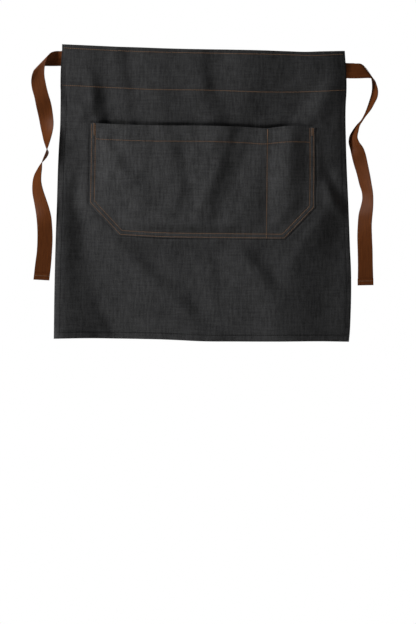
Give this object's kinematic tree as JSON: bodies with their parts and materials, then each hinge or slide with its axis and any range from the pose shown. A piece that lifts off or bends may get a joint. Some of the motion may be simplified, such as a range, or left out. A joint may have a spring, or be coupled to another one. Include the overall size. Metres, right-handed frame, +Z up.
{
  "type": "waist apron",
  "caption": "Knee-length denim waist apron with a wide patch pocket, a narrow pocket beside it and two woven tape ties, hanging open.",
  "frame": {"origin": "the middle of the apron's top edge, on the front of the cloth, where it is held up", "axes": "+Z up the apron, -Y out of its front, +X to the right as the front is seen"},
  "size_m": [0.5902, 0.0579, 0.5058],
  "materials": {
    "denim": "matte charcoal denim with a fine cross-hatched weave",
    "tie_tape": "brown twill tape with a slight sheen"
  },
  "bodies": {
    "root": {"apron_panel": "denim", "waistband_facing": "denim", "pocket": "denim", "tie_left": "tie_tape", "tie_right": "tie_tape"}
  },
  "joints": []
}
